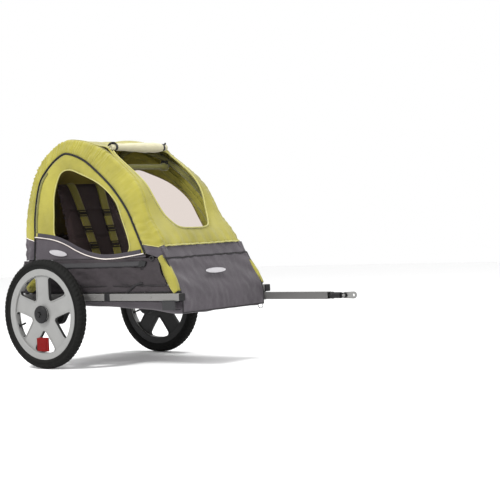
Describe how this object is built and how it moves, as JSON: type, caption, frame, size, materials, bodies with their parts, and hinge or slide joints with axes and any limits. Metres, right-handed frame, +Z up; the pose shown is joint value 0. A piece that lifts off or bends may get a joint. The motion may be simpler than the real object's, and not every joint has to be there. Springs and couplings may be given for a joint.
{
  "type": "child bicycle trailer",
  "caption": "Single-seat child trailer towed behind a bicycle: folding fabric cabin on a tube frame with quick-release wheels and a swing-away tow arm.",
  "frame": {"origin": "centre of the footprint on the ground", "axes": "+X the towing direction, +Y the left side, +Z up"},
  "size_m": [1.194, 0.694, 0.8364],
  "materials": {
    "aluminium": "brushed",
    "arm_metal": "satin",
    "frame_steel": "satin black",
    "zinc": "zinc plated",
    "black_plastic": "moulded",
    "rim_plastic": "satin silver-grey",
    "tyre_rubber": "matt",
    "reflector_red": "gloss",
    "lime_fabric": "woven polyester, lime",
    "grey_fabric": "woven polyester, charcoal",
    "seat_fabric": "woven polyester, dark",
    "strap_webbing": "webbing, olive",
    "black_webbing": "webbing, black",
    "window_mesh": "tinted mesh",
    "cream_fabric": "coated cloth, cream"
  },
  "bodies": {
    "frame": {"rail_right": "aluminium", "rail_left": "aluminium", "cross_tube_rear": "aluminium", "cross_tube_axle": "aluminium", "cross_tube_front": "aluminium", "upper_frame_right": "frame_steel", "upper_frame_left": "frame_steel", "axle_right": "zinc", "axle_left": "zinc", "tow_bracket_right": "zinc", "tow_bracket_left": "zinc", "rail_plug_right": "black_plastic", "rail_plug_left": "black_plastic", "axle_bracket_right": "black_plastic", "axle_bracket_left": "black_plastic", "hinge_rear_right": "black_plastic", "hinge_rear_left": "black_plastic", "hinge_front_right": "black_plastic", "hinge_front_left": "black_plastic", "strap_adjuster_right": "black_plastic", "strap_adjuster_left": "black_plastic", "harness_buckle": "black_plastic", "canopy": "lime_fabric", "front_apron": "grey_fabric", "front_panel": "grey_fabric", "rear_panel": "grey_fabric", "lower_side_right": "grey_fabric", "lower_side_left": "grey_fabric", "belly": "grey_fabric", "floor": "seat_fabric", "seat_back": "seat_fabric", "seat_base": "seat_fabric", "shoulder_strap_right": "strap_webbing", "shoulder_strap_left": "strap_webbing", "lap_belt_right": "black_webbing", "lap_belt_left": "black_webbing", "crotch_strap": "black_webbing", "roll_strap_right": "black_webbing", "roll_strap_left": "black_webbing", "rolled_cover": "cream_fabric"},
    "wheel_right": {"tyre_right": "tyre_rubber", "rim_right": "rim_plastic", "hub_cap_right": "black_plastic", "reflector_right": "reflector_red"},
    "wheel_left": {"tyre_left": "tyre_rubber", "rim_left": "rim_plastic", "hub_cap_left": "black_plastic"},
    "release_right": {"hub_button_right": "black_plastic"},
    "release_left": {"hub_button_left": "black_plastic"},
    "side_left": {"hoop_left": "frame_steel", "side_panel_left": "lime_fabric", "side_window_left": "window_mesh"},
    "side_right": {"hoop_right": "frame_steel", "side_panel_right": "lime_fabric", "side_window_right": "window_mesh"},
    "crossbar": {"crossbar": "frame_steel"},
    "tow_arm": {"tow_arm": "arm_metal"},
    "retaining_pin": {"retaining_pin": "zinc"},
    "arm_coupling": {"arm_coupling": "black_plastic"},
    "hitch_plate": {"hitch_plate": "zinc"}
  },
  "joints": [
    {"name": "wheel_right_spin", "type": "hinge", "parent": "frame", "child": "wheel_right", "pos_m": [-0.397, -0.312, 0.2], "axis": [0, 1, 0], "continuous": true},
    {"name": "wheel_left_spin", "type": "hinge", "parent": "frame", "child": "wheel_left", "pos_m": [-0.397, 0.312, 0.2], "axis": [0, 1, 0], "continuous": true},
    {"name": "hub_button_right_press", "type": "slide", "parent": "frame", "child": "release_right", "axis": [0, 1, 0], "range_m": [0, 0.004], "stiffness_N_per_m": 300},
    {"name": "hub_button_left_press", "type": "slide", "parent": "frame", "child": "release_left", "axis": [0, -1, 0], "range_m": [0, 0.004], "stiffness_N_per_m": 300},
    {"name": "left_side_fold", "type": "hinge", "parent": "frame", "child": "side_left", "pos_m": [-0.397, 0.211, 0.388], "axis": [1, 0, 0], "range_deg": [0, 83], "deforming": ["canopy", "seat_back", "shoulder_strap_right", "shoulder_strap_left", "strap_adjuster_right", "strap_adjuster_left", "side_panel_right", "side_panel_left", "side_window_right", "side_window_left", "rolled_cover", "roll_strap_right", "roll_strap_left"]},
    {"name": "right_side_fold", "type": "hinge", "parent": "frame", "child": "side_right", "pos_m": [-0.397, -0.211, 0.388], "axis": [-1, 0, 0], "range_deg": [0, 48.3]},
    {"name": "crossbar_drop", "type": "slide", "parent": "frame", "child": "crossbar", "axis": [0, 0, -1], "range_m": [0, 0.407]},
    {"name": "tow_arm_swing", "type": "hinge", "parent": "frame", "child": "tow_arm", "pos_m": [0.143, 0.242, 0.227], "axis": [0, 0, -1], "range_deg": [0, 170], "deforming": ["belly", "front_panel"]},
    {"name": "retaining_pin_pull", "type": "slide", "parent": "tow_arm", "child": "retaining_pin", "axis": [0, 0, -1], "range_m": [0, 0.045]},
    {"name": "arm_coupling_yaw", "type": "hinge", "parent": "tow_arm", "child": "arm_coupling", "pos_m": [0.497, 0.242, 0.227], "axis": [0, 0, 1], "range_deg": [-35, 35], "stiffness_Nm_per_rad": 3},
    {"name": "hitch_plate_pitch", "type": "hinge", "parent": "arm_coupling", "child": "hitch_plate", "pos_m": [0.549, 0.242, 0.227], "axis": [0, 1, 0], "range_deg": [-25, 25]}
  ],
  "couplings": [
    {"joint": "right_side_fold", "follows": "left_side_fold", "ratio": 0.58},
    {"joint": "crossbar_drop", "follows": "left_side_fold", "m_per_rad": 0.28}
  ]
}
